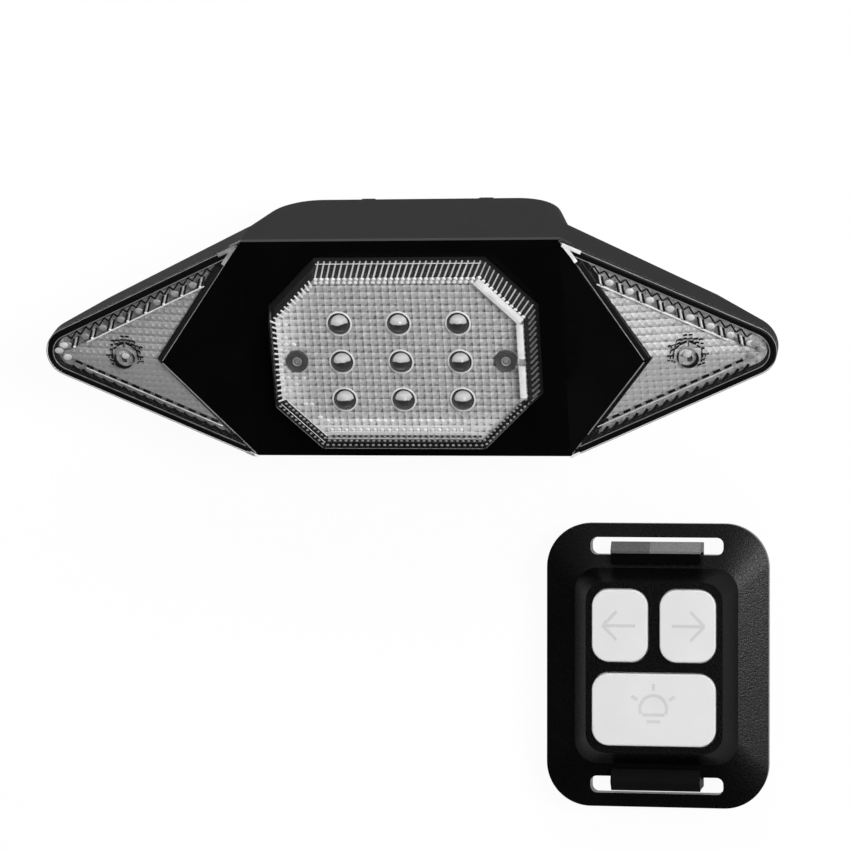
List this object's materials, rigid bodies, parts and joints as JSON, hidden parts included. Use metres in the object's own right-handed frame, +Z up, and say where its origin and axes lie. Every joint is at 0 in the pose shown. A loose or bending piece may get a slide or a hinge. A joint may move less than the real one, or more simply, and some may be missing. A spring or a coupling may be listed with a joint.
{
  "type": "bicycle turn signal light",
  "caption": "Wide bicycle tail light with arrow-shaped turn signal lenses, a clear middle lens over lamps, and a handlebar remote with arrow buttons",
  "frame": {"origin": "centre of the set's outline on the ground that both pieces lie on", "axes": "+X to the light's right tip as seen from its face, +Y towards the light's top edge, +Z up from the ground"},
  "size_m": [0.1726, 0.1454, 0.056],
  "materials": {
    "housing_plastic": "fine moulded texture",
    "face_plastic": "polished black",
    "clear_plastic": "clear moulded plastic",
    "lamp_plastic": "clear lamp resin",
    "bright_plastic": "metallised plastic",
    "board_laminate": "solder-masked laminate",
    "screw_steel": "plain",
    "contact_steel": "nickel plated",
    "cell_jacket": "plain jacket",
    "switch_plastic": "plain",
    "black_rubber": "soft matte",
    "button_plastic": "satin white",
    "remote_plastic": "fine moulded texture",
    "clip_plastic": "plain"
  },
  "bodies": {
    "light": {"rear_housing": "housing_plastic", "front_bezel": "face_plastic", "center_lens": "clear_plastic", "center_reflector": "bright_plastic", "center_lamps": "lamp_plastic", "center_lamp_board": "board_laminate", "right_wing_lens": "clear_plastic", "left_wing_lens": "clear_plastic", "right_wing_reflector": "bright_plastic", "left_wing_reflector": "bright_plastic", "right_wing_lamp": "lamp_plastic", "left_wing_lamp": "lamp_plastic", "right_wing_board": "board_laminate", "left_wing_board": "board_laminate", "lens_screws": "screw_steel", "bezel_screws": "screw_steel", "control_board": "board_laminate", "power_switch": "switch_plastic", "battery_cells": "cell_jacket", "battery_contacts": "contact_steel", "battery_cover": "housing_plastic", "battery_cover_seal": "black_rubber", "battery_cover_screws": "screw_steel", "post_saddle": "housing_plastic", "post_saddle_screws": "screw_steel", "post_saddle_pad": "black_rubber"},
    "power_key": {"power_button": "black_rubber"},
    "remote": {"remote_top_shell": "remote_plastic", "remote_back_shell": "remote_plastic", "remote_seal": "black_rubber", "remote_screws": "screw_steel", "remote_switches": "switch_plastic", "remote_board": "board_laminate", "coin_cell": "contact_steel", "cell_clip": "clip_plastic", "bar_bracket": "remote_plastic", "bar_bracket_pad": "black_rubber"},
    "left_key": {"left_arrow_button": "button_plastic"},
    "right_key": {"right_arrow_button": "button_plastic"},
    "lamp_key": {"lamp_button": "button_plastic"}
  },
  "joints": [
    {"name": "power_press", "type": "slide", "parent": "light", "child": "power_key", "axis": [0, 0.9285, 0.3713], "range_m": [0, 0.0008], "stiffness_N_per_m": 600, "springref_m": -0.0003},
    {"name": "remote_lift", "type": "slide", "parent": "light", "child": "remote", "axis": [0, 0, 1], "range_m": [0, 0.03]},
    {"name": "left_arrow_press", "type": "slide", "parent": "remote", "child": "left_key", "axis": [0, 0, -1], "range_m": [0, 0.0007], "stiffness_N_per_m": 600, "springref_m": -0.0003},
    {"name": "right_arrow_press", "type": "slide", "parent": "remote", "child": "right_key", "axis": [0, 0, -1], "range_m": [0, 0.0007], "stiffness_N_per_m": 600, "springref_m": -0.0003},
    {"name": "lamp_press", "type": "slide", "parent": "remote", "child": "lamp_key", "axis": [0, 0, -1], "range_m": [0, 0.0007], "stiffness_N_per_m": 600, "springref_m": -0.0003}
  ]
}
